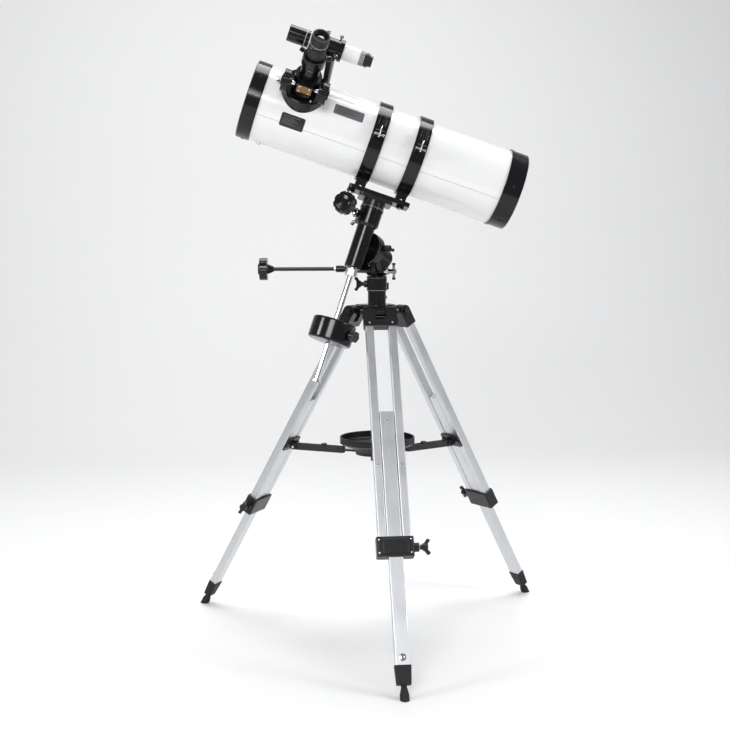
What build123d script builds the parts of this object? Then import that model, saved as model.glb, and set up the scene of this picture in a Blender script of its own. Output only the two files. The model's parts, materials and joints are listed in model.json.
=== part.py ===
"""Newtonian reflector telescope on an equatorial mount and a folding tripod.

Millimetres, +Z up. The origin is on the floor, on the tripod's vertical axis. Leg a points to -Y,
leg b to 30 degrees and leg c to 150 degrees. Every piece is modelled in the place it has when the
telescope stands ready for use.
"""
from build123d import *
import os
from math import atan2, cos, radians, sin

os.makedirs("parts", exist_ok=True)

# ---- driving dimensions -------------------------------------------------------------------------
# tripod
foot_radius = 470.0        # leg centre line at the floor
hinge_radius = 54.0        # leg hinge axis, from the tripod axis
hinge_height = 738.0
leg_angles = {"a": -90.0, "b": 30.0, "c": 150.0}
rail_inner, rail_outer = 16.5, 34.5
rail_depth = 19.0
rail_wall = 1.6
rail_end = 545.0           # along the leg, from the hinge axis
inner_width, inner_depth = 30.4, 17.2
inner_top, inner_bottom = 241.0, 800.0
fitting_half = 37.0
bracket_station = 361.8
arm_pivot_offset = 22.0    # behind the leg's centre plane
arm_length = 170.0
arm_width, arm_depth = 14.0, 15.0
arm_height = 412.0
tray_radius, tray_floor, tray_rim = 86.0, 430.0, 449.0
eyepiece_hole = 16.0
head_top = 753.0

# mount
azimuth_joint = 783.0      # height of the turning face of the mount base
base_radius, base_top = 23.0, 817.0
pivot_height = 828.0       # latitude pivot
polar_height = 863.6       # where the polar axis crosses the vertical axis
polar_heading = -130.1     # horizontal direction of the polar axis's upper end
latitude = 20.0
hour_angle = 8.2
declination_turn = -48.4   # from the polar axis to the tube, about the declination axis
dec_offset = 70.0          # along the polar axis, to the declination axis
slow_rod_heading = 174.08  # horizontal direction of the right-ascension control rod

# optical tube
tube_height = 229.0        # tube axis above the polar axis, along the declination axis
tube_radius, tube_wall = 85.0, 1.2
tube_front, tube_rear = -337.0, 296.0
cap_radius = 87.0
ring_centre, ring_spacing, ring_width = 5.0, 95.0, 30.0
focuser_station, focuser_angle = -225.0, 63.5

# running clearance between a shaft and its bore, and the gap between flat neighbours
fit, gap = 0.05, 0.3

splay = atan2(foot_radius - hinge_radius, hinge_height)


# ---- helpers ------------------------------------------------------------------------------------
def post(plane, start, stop, radius, inner=0.0, mode=Mode.ADD):
    """A round post or tube along the plane's normal, from start to stop."""
    with BuildSketch(plane.offset(start)) as profile:
        Circle(radius)
        if inner:
            Circle(inner, mode=Mode.SUBTRACT)
    extrude(profile.sketch, amount=stop - start, mode=mode)


def block(plane, x_range, y_range, z_range, mode=Mode.ADD):
    """A rectangular block given by its extents in the plane's own axes."""
    with BuildSketch(plane.offset(z_range[0])) as profile:
        with Locations(((x_range[0] + x_range[1]) / 2, (y_range[0] + y_range[1]) / 2)):
            Rectangle(x_range[1] - x_range[0], y_range[1] - y_range[0])
    extrude(profile.sketch, amount=z_range[1] - z_range[0], mode=mode)


def turned(plane, outline, mode=Mode.ADD):
    """A turned piece: an outline of (radius, height) points revolved about the plane's normal."""
    half = Plane(origin=plane.origin, x_dir=plane.x_dir, z_dir=plane.y_dir * -1)
    with BuildSketch(half) as profile:
        with BuildLine():
            Polyline(*outline, close=True)
        make_face()
    revolve(profile.sketch, axis=Axis(plane.origin, plane.z_dir), mode=mode)


def hexagon(plane, start, stop, across):
    """A hexagonal head or nut, given its size across the flats."""
    with BuildSketch(plane.offset(start)) as profile:
        RegularPolygon(across / 2, 6, major_radius=False)
    extrude(profile.sketch, amount=stop - start)


def lobed(plane, start, stop, radius, lobes, bite):
    """A hand knob with rounded lobes around its rim."""
    with BuildSketch(plane.offset(start)) as profile:
        Circle(radius)
        with PolarLocations(radius + 0.66 * bite, lobes):
            Circle(bite, mode=Mode.SUBTRACT)
    extrude(profile.sketch, amount=stop - start)


def wing(plane, start, span, depth, thickness):
    """A wing nut: a round boss and two swept wings, standing on the plane at start."""
    post(plane, start, start + 0.6 * depth, 0.24 * span)
    side = Plane(origin=plane.offset(start).origin, x_dir=plane.x_dir, z_dir=plane.y_dir * -1)
    with BuildSketch(side.offset(-thickness / 2)) as profile:
        with BuildLine():
            Polyline((-0.12 * span, 0), (-0.5 * span, 0.55 * depth), (-0.42 * span, depth),
                     (-0.2 * span, 0.62 * depth), (0.2 * span, 0.62 * depth), (0.42 * span, depth),
                     (0.5 * span, 0.55 * depth), (0.12 * span, 0), close=True)
        make_face()
        fillet(profile.vertices().group_by(Axis.Y)[-1], 0.07 * span)
    extrude(profile.sketch, amount=thickness)


def save(part, name):
    """Label a finished piece and write its STEP file."""
    part.label = name
    export_step(part, f"parts/{name}.step")


def leg_plane(angle):
    """Leg frame: X across the leg, Y to its outer face, Z down the leg from the hinge axis."""
    a = radians(angle)
    return Plane(origin=(hinge_radius * cos(a), hinge_radius * sin(a), hinge_height),
                 x_dir=(-sin(a), cos(a), 0),
                 z_dir=(sin(splay) * cos(a), sin(splay) * sin(a), -cos(splay)))


def spun(plane, turn):
    """The plane turned about its own normal."""
    x_dir = plane.x_dir * cos(radians(turn)) + plane.y_dir * sin(radians(turn))
    return Plane(origin=plane.origin, x_dir=x_dir, z_dir=plane.z_dir)


def side_plane(plane, x, y, z, turn=0):
    """A plane through a local point whose normal is the local X axis turned about the local Z."""
    origin = plane.from_local_coords((x, y, z))
    normal = plane.x_dir * cos(radians(turn)) + plane.y_dir * sin(radians(turn))
    return Plane(origin=origin, x_dir=plane.z_dir, z_dir=normal)


def polar_basis():
    """Heading, polar-axis and declination-axis directions, and the point where the axes cross."""
    heading = Vector(cos(radians(polar_heading)), sin(radians(polar_heading)), 0)
    lat, hour = radians(latitude), radians(hour_angle)
    polar = heading * cos(lat) + Vector(0, 0, sin(lat))
    east = Vector(-heading.Y, heading.X, 0)
    up = polar.cross(east)
    return heading, polar, up * cos(hour) + east * sin(hour), east


# ---- frames of the mount ------------------------------------------------------------------------
heading, polar_dir, dec_dir, east = polar_basis()
base_plane = Plane(origin=(0, 0, 0), x_dir=heading, z_dir=(0, 0, 1))
polar_plane = Plane(origin=(0, 0, polar_height), x_dir=east, z_dir=polar_dir)
dec_plane = Plane(origin=polar_plane.offset(dec_offset).origin, x_dir=polar_dir, z_dir=dec_dir)
saddle_plane = spun(dec_plane, declination_turn)
tube_plane = Plane(origin=dec_plane.offset(tube_height).origin,
                   x_dir=dec_dir, z_dir=saddle_plane.x_dir * -1)
pivot_plane = Plane(origin=(0, 0, pivot_height), x_dir=(0, 0, 1), z_dir=east)

# ---- tripod head --------------------------------------------------------------------------------
lug_half, lug_round, hinge_bolt_radius = 11.0, 11.0, 4.0
stub_radius, head_bolt_radius = 13.0, 5.0

with BuildPart() as tripod_head:
    post(Plane.XY, 722, 745, 33)
    post(Plane.XY, 745, head_top, 39)
    fillet(tripod_head.edges().group_by(Axis.Z)[-1], 2)
    for angle in leg_angles.values():
        hinge = Plane(origin=leg_plane(angle).origin, x_dir=(0, 0, 1), z_dir=leg_plane(angle).x_dir)
        post(hinge, -lug_half, lug_half, lug_round)
        inward = Plane.XY.rotated((0, 0, angle))
        block(inward, (25, hinge_radius), (-lug_half, lug_half),
              (hinge_height - lug_round, hinge_height + lug_round))
        post(hinge, -lug_half, lug_half, hinge_bolt_radius + fit, mode=Mode.SUBTRACT)
    post(Plane.XY, head_top, azimuth_joint - gap, 20.5)
    post(Plane.XY, azimuth_joint - gap, 811, stub_radius)
    post(Plane.XY, 722, 811, head_bolt_radius + 0.2, mode=Mode.SUBTRACT)
save(tripod_head.part, "tripod_head")

with BuildPart() as leg_hinge_bolts:
    for angle in leg_angles.values():
        hinge = Plane(origin=leg_plane(angle).origin, x_dir=(0, 0, 1), z_dir=leg_plane(angle).x_dir)
        post(hinge, -fitting_half - 1, fitting_half + 1, hinge_bolt_radius)
        hexagon(hinge, fitting_half + gap, fitting_half + 6, 13)
        hexagon(hinge, -fitting_half - 7, -fitting_half - gap, 13)
save(leg_hinge_bolts.part, "leg_hinge_bolts")

with BuildPart() as head_bolt:
    post(Plane.XY, 700, 808, head_bolt_radius)
    lobed(Plane.XY, 700, 721.7, 21, 6, 6)
    fillet(head_bolt.edges().group_by(Axis.Z)[0], 2)
save(head_bolt.part, "head_bolt")

# ---- tripod legs --------------------------------------------------------------------------------
prong_inner, fitting_half_depth, fitting_bottom = 12.0, 13.0, 38.0
collar_top, collar_step, collar_bottom = 519.0, 545.0, 561.0
lock_station, lock_stem = 540.0, 3.0
pin_radius = 2.5
foot_top, tip_top, tip_flare, tip_end = 780.0, 818.0, 836.0, 862.0
tip_neck, tip_radius = 6.0, 9.5

for name, angle in leg_angles.items():
    leg = leg_plane(angle)
    across = side_plane(leg, 0, 0, 0)

    # two hollow aluminium rails
    with BuildPart() as rails:
        for sign in (-1, 1):
            centre = sign * (rail_inner + rail_outer) / 2
            with BuildSketch(leg.offset(14)) as section:
                with Locations((centre, 0)):
                    RectangleRounded(rail_outer - rail_inner, rail_depth, 2.5)
                    Rectangle(rail_outer - rail_inner - 2 * rail_wall, rail_depth - 2 * rail_wall,
                              mode=Mode.SUBTRACT)
            extrude(section.sketch, amount=rail_end - 14)
    save(rails.part, f"leg_{name}_rails")

    # top fitting: two prongs that cap the rails, joined below the hinge
    with BuildPart() as fitting:
        for sign in (-1, 1):
            sides = sorted((sign * prong_inner, sign * fitting_half))
            post(across, sides[0], sides[1], fitting_half_depth)
            block(leg, sides, (-fitting_half_depth, fitting_half_depth), (0, fitting_bottom))
        block(leg, (-prong_inner, prong_inner), (-fitting_half_depth, fitting_half_depth),
              (23, fitting_bottom))
        fillet(fitting.edges().filter_by(Axis(leg.origin, leg.y_dir)), 2.5)
        for sign in (-1, 1):
            sides = sorted((sign * rail_inner, sign * rail_outer))
            block(leg, sides, (-rail_depth / 2, rail_depth / 2), (14, fitting_bottom), Mode.SUBTRACT)
        post(across, -fitting_half, fitting_half, hinge_bolt_radius + fit, mode=Mode.SUBTRACT)
    save(fitting.part, f"leg_{name}_fitting")

    # spreader bracket on the rails' inner faces, with two ears and the arm's pin
    with BuildPart() as bracket:
        station = leg.offset(bracket_station)
        block(station, (-32, 32), (-rail_depth / 2 - 3.5, -rail_depth / 2), (-15, 15))
        fillet(bracket.edges().filter_by(Axis(leg.origin, leg.y_dir)), 4)
        for sign in (-1, 1):
            ear = sorted((sign * (arm_width / 2 + 0.5), sign * (arm_width / 2 + 4)))
            block(station, ear, (-arm_pivot_offset, -rail_depth / 2 - 3), (-7, 7))
            pin = side_plane(leg, 0, -arm_pivot_offset, bracket_station)
            post(pin, ear[0], ear[1], 7)
        post(pin, -arm_width / 2 - 6, arm_width / 2 + 6, pin_radius)
        with BuildSketch(Plane(origin=station.from_local_coords((0, -rail_depth / 2 - 3.5, 0)),
                               x_dir=leg.x_dir, z_dir=leg.y_dir * -1)) as heads:
            with Locations((-25, 0), (25, 0)):
                RegularPolygon(5, 6, major_radius=False)
        extrude(heads.sketch, amount=3.5)
    save(bracket.part, f"leg_{name}_bracket")

    # collar at the rails' lower end, with the side boss of the lock screw
    with BuildPart() as collar:
        block(leg, (-39, 39), (-14, 14), (collar_top, collar_bottom))
        fillet(collar.edges().filter_by(Axis(leg.origin, leg.z_dir)), 4)
        fillet(collar.faces().sort_by(Axis(leg.origin, leg.z_dir))[-1].edges(), 2)
        block(leg, (-27, 27), (13, 17.5), (collar_top + 4, collar_bottom - 5))
        fillet(collar.faces().sort_by(Axis(leg.origin, leg.y_dir))[-1].edges(), 2.2)
        lock_axis = side_plane(leg, 0, 0, lock_station)
        post(lock_axis, 36, 50, 9.5)
        block(leg, (-rail_outer, rail_outer), (-rail_depth / 2, rail_depth / 2),
              (collar_top, collar_step), Mode.SUBTRACT)
        block(leg, (-inner_width / 2 - 0.6, inner_width / 2 + 0.6),
              (-inner_depth / 2 - 0.6, inner_depth / 2 + 0.6), (collar_top, collar_bottom), Mode.SUBTRACT)
        post(lock_axis, rail_outer, 50, lock_stem + fit, mode=Mode.SUBTRACT)
    save(collar.part, f"leg_{name}_collar")

    with BuildPart() as lock:
        post(lock_axis, rail_outer + gap, 60, lock_stem)
        post(lock_axis, 52, 58, 5.5)
        wing(lock_axis, 58, 34, 17, 6)
    save(lock.part, f"leg_{name}_lock")

    # inner leg, sliding between the rails
    with BuildPart() as inner:
        with BuildSketch(leg.offset(inner_top)) as section:
            RectangleRounded(inner_width, inner_depth, 2)
            Rectangle(inner_width - 3, inner_depth - 3, mode=Mode.SUBTRACT)
        extrude(section.sketch, amount=inner_bottom - inner_top)
        block(leg, (-inner_width / 2 + 1, inner_width / 2 - 1), (-inner_depth / 2 + 1, inner_depth / 2 - 1),
              (inner_top, inner_top + 6))
    save(inner.part, f"leg_{name}_inner")

    # foot: a tapered plug on the inner leg's end, with a flared round tip
    with BuildPart() as foot:
        with BuildSketch(leg.offset(foot_top)) as near:
            RectangleRounded(inner_width + 3.6, inner_depth + 3.8, 3)
        with BuildSketch(leg.offset(tip_top)) as far:
            RectangleRounded(inner_width - 1, inner_depth + 0.6, 3)
        loft([near.sketch.face(), far.sketch.face()])
        turned(leg, ((0, tip_top - 2), (tip_neck + 0.5, tip_top - 2), (tip_neck, tip_top + 5),
                     (tip_radius, tip_flare), (tip_radius, tip_end), (0, tip_end)))
        block(leg, (-inner_width / 2, inner_width / 2), (-inner_depth / 2, inner_depth / 2),
              (foot_top, inner_bottom), Mode.SUBTRACT)
        split(bisect_by=Plane.XY, keep=Keep.TOP)
    save(foot.part, f"leg_{name}_foot")

# ---- spreader and accessory tray ----------------------------------------------------------------
for name, angle in leg_angles.items():
    leg = leg_plane(angle)
    pivot = leg.from_local_coords(Vector(0, -arm_pivot_offset, bracket_station))
    arm_plane = Plane(origin=pivot, x_dir=leg.x_dir, z_dir=(-cos(radians(angle)), -sin(radians(angle)), 0))
    eye = side_plane(arm_plane, 0, 0, 0)
    tip = side_plane(arm_plane, 0, 0, arm_length)
    half = arm_width / 2
    with BuildPart() as arm:
        # a folded channel, open below, with a flat tongue that reaches the hub
        block(arm_plane, (-half, half), (-arm_depth / 2, arm_depth / 2), (-2, arm_length - 42))
        block(arm_plane, (-half + 2, half - 2), (-arm_depth / 2, arm_depth / 2 - 2), (10, arm_length - 42),
              Mode.SUBTRACT)
        block(arm_plane, (-half, half), (-2, 2), (arm_length - 56, arm_length))
        post(eye, -half, half, arm_depth / 2)
        post(tip, -half, half, 3.5)
        middle = Plane(origin=arm_plane.offset(0.45 * arm_length).origin, x_dir=leg.x_dir, z_dir=(0, 0, 1))
        post(middle, arm_depth / 2 - 1, arm_depth / 2 + 4, 6.5)
        post(eye, -half, half, pin_radius + fit, mode=Mode.SUBTRACT)
    save(arm.part, f"spreader_arm_{name}")

hub_radius, notch_half, boss_radius = 50.0, 9.0, 14.0
with BuildPart() as spreader_hub:
    post(Plane.XY, arm_height - 3, arm_height + 3, hub_radius)
    for angle in leg_angles.values():
        block(Plane.XY.rotated((0, 0, angle)), (15, 60), (-notch_half, notch_half),
              (arm_height - 4, arm_height + 4), Mode.SUBTRACT)
    post(Plane.XY, arm_height, tray_floor, boss_radius)
    lobed(Plane.XY, arm_height - 20, arm_height - 3, 15, 6, 4.5)
    fillet(spreader_hub.edges().group_by(Axis.Z)[0], 1.5)
save(spreader_hub.part, "spreader_hub")

with BuildPart() as accessory_tray:
    turned(Plane.XY, ((0, tray_floor), (tray_radius - 6, tray_floor), (tray_radius, tray_floor + 5),
                      (tray_radius, tray_rim), (tray_radius - 3, tray_rim), (tray_radius - 3, tray_floor + 6),
                      (tray_radius - 8, tray_floor + 3), (0, tray_floor + 3)))
    fillet(accessory_tray.edges().group_by(Axis.Z)[-1], 1.2)
    with BuildSketch(Plane.XY.offset(tray_floor)) as holes:
        with PolarLocations(54, 3, start_angle=-30):
            Circle(eyepiece_hole)
    extrude(holes.sketch, amount=3, mode=Mode.SUBTRACT)
    hexagon(Plane.XY, tray_floor + 3, tray_floor + 8, 17)
save(accessory_tray.part, "accessory_tray")

# ---- mount base: turns on the tripod head -------------------------------------------------------
tongue_half, latitude_pin = 9.0, 5.0
azimuth_lock_height, azimuth_lock_turn = 799.0, 60.0

with BuildPart() as mount_base:
    post(Plane.XY, azimuth_joint, base_top, base_radius)
    fillet(mount_base.edges().group_by(Axis.Z)[-1], 1.5)
    block(base_plane, (-12, 12), (-tongue_half, tongue_half), (base_top - 1, pivot_height))
    post(pivot_plane, -tongue_half, tongue_half, 12)
    post(pivot_plane, -tongue_half, tongue_half, latitude_pin + fit, mode=Mode.SUBTRACT)
    post(Plane.XY, azimuth_joint, 812, stub_radius + fit, mode=Mode.SUBTRACT)
    lock_axis = side_plane(base_plane, 0, 0, azimuth_lock_height, -azimuth_lock_turn)
    post(lock_axis, 20, 29, 8)
    post(lock_axis, stub_radius + 1, 30, 3 + fit, mode=Mode.SUBTRACT)
    block(base_plane, (-36, -18), (-9, 9), (azimuth_joint + 2, azimuth_joint + 18))
    post(Plane.XY, azimuth_joint, 812, stub_radius + fit, mode=Mode.SUBTRACT)
    upright = Plane(origin=base_plane.from_local_coords((-29, 0, 0)), z_dir=(0, 0, 1))
    post(upright, 768, 818, 3.5)
    hexagon(upright, 802, 808, 12)
    hexagon(upright, 764, 771, 12)
save(mount_base.part, "mount_base")

with BuildPart() as azimuth_lock:
    post(lock_axis, stub_radius + 1.5, 38, 3)
    post(lock_axis, 30, 37, 5)
    wing(lock_axis, 36, 32, 17, 6)
save(azimuth_lock.part, "azimuth_lock")

# ---- latitude pin with its tee handle -----------------------------------------------------------
with BuildPart() as latitude_bolt:
    post(pivot_plane, -27, 48, latitude_pin)
    hexagon(pivot_plane, -32, -24.5, 15)
    post(pivot_plane, 24.5, 30, 8)
    tee = Plane(origin=pivot_plane.offset(46).origin, x_dir=east, z_dir=(0, 0, 1))
    post(tee, -19, 19, 3)
    post(pivot_plane, 42, 50, 5.5)
save(latitude_bolt.part, "latitude_bolt")

# ---- polar housing ------------------------------------------------------------------------------
polar_radius, polar_rear, polar_front = 24.0, -34.0, 46.0
wheel_radius = 39.0
polar_shaft = 12.0
cheek_inner, cheek_outer = tongue_half + 0.4, 22.0
worm_drop, worm_station = 45.0, 37.0

with BuildPart() as polar_housing:
    post(polar_plane, polar_rear, polar_front - 6, polar_radius)
    fillet(polar_housing.edges().sort_by(Axis(polar_plane.origin, polar_dir))[0], 6)
    # worm-wheel housing, a wide drum at the upper end
    post(polar_plane, 28, polar_front, wheel_radius)
    fillet(polar_housing.edges().sort_by(Axis(polar_plane.origin, polar_dir))[-1], 2.5)
    # two cheeks down to the latitude pivot
    for sign in (-1, 1):
        sides = sorted((sign * cheek_inner, sign * cheek_outer))
        with BuildSketch(pivot_plane.offset(sides[0])) as cheek:
            Circle(10.6)
            with BuildLine():
                Polyline((0, -10.6), (polar_height - pivot_height, -23), (polar_height - pivot_height, 27),
                         (0, 10.6), close=True)
            make_face()
        extrude(cheek.sketch, amount=sides[1] - sides[0])
    block(base_plane, (-14, 14), (-polar_radius + 2, polar_radius - 2), (pivot_height + 14, polar_height))
    # worm housing under the drum, and the lock's boss
    worm = Plane(origin=polar_plane.from_local_coords((0, -worm_drop, worm_station)),
                 x_dir=polar_dir, z_dir=east)
    post(worm, -24, 24, 9)
    post(worm, -29, -24, 5.5)
    block(polar_plane, (-20, 20), (-worm_drop, -30), (worm_station - 8, worm_station + 7))
    lock_axis = side_plane(polar_plane, 0, 5, 33)
    post(lock_axis, 30, 43, 7)
    # bores
    post(polar_plane, polar_rear + 4, polar_front, polar_shaft + fit, mode=Mode.SUBTRACT)
    post(polar_plane, polar_front - 10, polar_front, 30, mode=Mode.SUBTRACT)
    block(base_plane, (-30, 30), (-tongue_half - 0.4, tongue_half + 0.4),
          (base_top, pivot_height + 12.6), Mode.SUBTRACT)
    post(pivot_plane, -30, 30, latitude_pin + fit, mode=Mode.SUBTRACT)
    post(lock_axis, 30.5, 43, 3 + fit, mode=Mode.SUBTRACT)
save(polar_housing.part, "polar_housing")

with BuildPart() as ra_lock:
    post(lock_axis, 31, 46, 3)
    wing(lock_axis, 45, 30, 16, 5.5)
save(ra_lock.part, "ra_lock")

# right-ascension slow motion: a rod with a lobed knob, turned about its own axis
rod_dir = Vector(cos(radians(slow_rod_heading)), sin(radians(slow_rod_heading)), 0)
rod_start = worm.from_local_coords((0, 0, -33.5))
ra_rod = Plane(origin=rod_start, x_dir=(0, 0, 1), z_dir=rod_dir)
rod_length, knob_radius = 190.0, 25.0

with BuildPart() as ra_slow_motion:
    post(ra_rod, 0, 20, 6)
    post(ra_rod, 18, 36, 7.5)
    post(ra_rod, 34, rod_length, 4.3)
    turned(ra_rod, ((0, rod_length - 14), (6, rod_length - 14), (11, rod_length - 2), (11, rod_length + 1),
                    (0, rod_length + 1)))
    lobed(ra_rod, rod_length, rod_length + 18, knob_radius, 8, 6)
    fillet(ra_slow_motion.edges().group_by(Axis(rod_start, rod_dir))[-1], 2)
    post(ra_rod, rod_length + 17, rod_length + 21, 12)
save(ra_slow_motion.part, "ra_slow_motion")

# ---- declination housing, turning on the polar axis ---------------------------------------------
dec_bottom, dec_step, circle_start, saddle_start, saddle_top = -55.0, 48.0, 82.0, 88.0, 111.0
dec_radius, dec_head_radius, dec_shaft_radius = 20.0, 25.5, 9.0
dec_worm_height, dec_worm_offset, dec_worm_turn = 68.0, 27.0, 8.0

with BuildPart() as dec_housing:
    turned(dec_plane, ((0, dec_bottom), (dec_radius - 1.5, dec_bottom), (dec_radius, dec_bottom + 1.5),
                       (dec_radius, dec_step - 6), (dec_head_radius, dec_step), (dec_head_radius, circle_start),
                       (0, circle_start)))
    # shaft and flange into the polar housing
    post(polar_plane, polar_rear + 8, dec_offset, polar_shaft)
    post(polar_plane, polar_front - 9.5, polar_front + 2, 29.5)
    post(polar_plane, polar_front + 1, dec_offset - 6, 18)
    post(polar_plane, polar_front + gap, polar_front + 3, wheel_radius - 1)
    turn = radians(dec_worm_turn)
    worm_line = side_plane(dec_plane, dec_worm_offset * sin(turn), -dec_worm_offset * cos(turn),
                           dec_worm_height, dec_worm_turn)
    post(worm_line, -20, 20, 8.5)
    lock_axis = side_plane(dec_plane, 0, 0, 54, -90)
    post(lock_axis, 18, 30, 7)
    post(dec_plane, dec_bottom, circle_start, dec_shaft_radius + fit, mode=Mode.SUBTRACT)
    post(lock_axis, 12, 30, 3 + fit, mode=Mode.SUBTRACT)
    post(worm_line, 8, 20, 4 + fit, mode=Mode.SUBTRACT)
save(dec_housing.part, "dec_housing")

with BuildPart() as dec_lock:
    post(lock_axis, dec_shaft_radius + 4, 34, 3)
    wing(lock_axis, 32, 26, 14, 5)
save(dec_lock.part, "dec_lock")

with BuildPart() as dec_slow_motion:
    post(worm_line, 9, 36, 4)
    turned(worm_line, ((0, 32), (5.5, 32), (5.5, 52), (12, 66), (0, 66)))
    lobed(worm_line, 66, 84, knob_radius, 8, 6)
    fillet(dec_slow_motion.edges().group_by(Axis(worm_line.origin, worm_line.z_dir))[-1], 2)
    turned(worm_line, ((0, 83), (17, 83), (17, 85), (14, 86.5), (8, 85.5), (6, 87.5), (0, 87.5)))
save(dec_slow_motion.part, "dec_slow_motion")

# ---- declination shaft, saddle, counterweight ---------------------------------------------------
rod_end, rod_radius = -320.0, 6.0
weight_station, weight_radius, weight_half = -204.0, 49.0, 24.5

with BuildPart() as dec_shaft:
    post(dec_plane, dec_bottom - 2, saddle_start + 4, dec_shaft_radius)
    post(dec_plane, dec_bottom - 18, dec_bottom - gap, 13)
    fillet(dec_shaft.edges().group_by(Axis(dec_plane.origin, dec_dir))[0], 1.5)
    post(dec_plane, rod_end + 4, dec_bottom - 10, rod_radius)
    post(dec_plane, rod_end, rod_end + 5, 11)
save(dec_shaft.part, "dec_shaft")

with BuildPart() as saddle:
    post(dec_plane, circle_start + gap, saddle_start, dec_head_radius + 1)
    post(dec_plane, saddle_start, saddle_top - 8, dec_head_radius - 0.5)
    with BuildSketch(saddle_plane.offset(saddle_top - 9)) as table:
        RectangleRounded(76, 52, 6)
    extrude(table.sketch, amount=9)
    post(dec_plane, circle_start, saddle_start + 4, dec_shaft_radius, mode=Mode.SUBTRACT)
save(saddle.part, "dec_saddle")

lock_side = side_plane(dec_plane, 0, 0, weight_station, -declination_turn + 43)
with BuildPart() as counterweight:
    post(dec_plane, weight_station - weight_half, weight_station + weight_half, weight_radius,
         rod_radius + fit)
    fillet(counterweight.edges().filter_by(GeomType.CIRCLE).filter_by(
        lambda edge: edge.radius > weight_radius - 1), 5)
    post(lock_side, rod_radius + 1, weight_radius + 2, 4 + fit, mode=Mode.SUBTRACT)
save(counterweight.part, "counterweight")

with BuildPart() as counterweight_lock:
    post(lock_side, rod_radius + 2, 56, 4)
    lobed(lock_side, 52, 66, 12, 6, 4)
save(counterweight_lock.part, "counterweight_lock")

# ---- cradle bar and tube rings ------------------------------------------------------------------
bar_bottom, bar_top = saddle_top - tube_height, -108.0
ring_inner, ring_outer = tube_radius + 0.4, tube_radius + 6.0
ring_stations = {"front": ring_centre - ring_spacing / 2, "rear": ring_centre + ring_spacing / 2}

with BuildPart() as cradle_bar:
    block(tube_plane, (bar_bottom, bar_top), (-22, 22), (ring_centre - 71, ring_centre + 71))
    fillet(cradle_bar.edges().filter_by(Axis(tube_plane.origin, dec_dir)), 5)
    underside = Plane(origin=dec_plane.offset(saddle_top).origin, x_dir=saddle_plane.x_dir, z_dir=dec_dir * -1)
    with BuildSketch(underside) as heads:
        with Locations((-58, 0), (58, 0)):
            Circle(9)
    extrude(heads.sketch, amount=5)
save(cradle_bar.part, "cradle_bar")

for name, station in ring_stations.items():
    start, stop = station - ring_width / 2, station + ring_width / 2
    # lower half, with its foot on the bar, the clamp lug and the hinge knuckle
    with BuildPart() as ring_lower:
        post(tube_plane, start, stop, ring_outer, ring_inner)
        block(tube_plane, (gap / 2, ring_outer + 1), (-ring_outer - 1, ring_outer + 1), (start, stop),
              Mode.SUBTRACT)
        block(tube_plane, (bar_top, -78), (-17, 17), (start + 3, stop - 3))
        block(tube_plane, (-15, -gap / 2), (ring_inner + 2, ring_outer + 17), (start + 5, stop - 5))
        block(tube_plane, (-12, -gap / 2), (-ring_outer - 3, -ring_inner - 2), (start, stop))
        post(tube_plane, start, stop, ring_inner, mode=Mode.SUBTRACT)
        knuckle = Plane(origin=tube_plane.from_local_coords((0, -ring_outer - 6, 0)),
                        x_dir=tube_plane.x_dir, z_dir=tube_plane.z_dir)
        block(tube_plane, (-5, 5), (-ring_outer - 8, -ring_outer - 0.8), (start + 9.5, stop - 9.5),
              Mode.SUBTRACT)
        post(knuckle, start + 9.5, stop - 9.5, 6)
        block(tube_plane, (-12, -4), (-ring_outer - 6, -ring_outer + 3), (start + 9.5, stop - 9.5))
        post(knuckle, start, start + 9, 6.6, mode=Mode.SUBTRACT)
        post(knuckle, stop - 9, stop, 6.6, mode=Mode.SUBTRACT)
        post(knuckle, start + 9, stop - 9, 2.5, mode=Mode.SUBTRACT)
        post(knuckle, start + 0.5, stop - 0.5, 2.5)
    save(ring_lower.part, f"ring_lower_{name}")

    with BuildPart() as ring_top:
        post(tube_plane, start, stop, ring_outer, ring_inner)
        block(tube_plane, (-ring_outer - 1, gap / 2), (-ring_outer - 1, ring_outer + 1), (start, stop),
              Mode.SUBTRACT)
        block(tube_plane, (gap / 2, 12), (ring_inner + 2, ring_outer + 17), (start + 5, stop - 5))
        clamp = Plane(origin=tube_plane.from_local_coords((0, ring_outer + 8, station)),
                      x_dir=tube_plane.z_dir, z_dir=dec_dir)
        lobed(clamp, 11, 30, 8.5, 10, 1.6)
        post(clamp, 29, 34, 6)
        for low, high in ((start, start + 9), (stop - 9, stop)):
            post(knuckle, low, high, 6)
            block(tube_plane, (3, 11), (-ring_outer - 8, -ring_outer + 3), (low, high))
        post(tube_plane, start, stop, ring_inner, mode=Mode.SUBTRACT)
        post(knuckle, start - 1, stop + 1, 2.5 + fit, mode=Mode.SUBTRACT)
        post(knuckle, start + 9, stop - 9, 6.6, mode=Mode.SUBTRACT)
    save(ring_top.part, f"ring_top_{name}")

# ---- optical tube -------------------------------------------------------------------------------
cap_depth, rear_cap_depth, lip = 30.0, 41.0, 1.5
focus_dir = tube_plane.x_dir * cos(radians(focuser_angle)) + tube_plane.y_dir * sin(radians(focuser_angle))
focus_plane = Plane(origin=tube_plane.offset(focuser_station).origin,
                    x_dir=tube_plane.z_dir * -1, z_dir=focus_dir)
draw_radius = 21.5
spider_station = tube_front + 49.0

with BuildPart() as optical_tube:
    post(tube_plane, tube_front + 1.5, tube_rear - 1.5, tube_radius, tube_radius - tube_wall)
    post(focus_plane, 60, 100, draw_radius + 6, mode=Mode.SUBTRACT)
    for turn in (0, 120, 240):
        spoke = side_plane(tube_plane, 0, 0, spider_station + 4, focuser_angle + 1 + turn)
        post(spoke, tube_radius - 5, tube_radius + 1, 2, mode=Mode.SUBTRACT)
save(optical_tube.part, "optical_tube")

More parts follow.
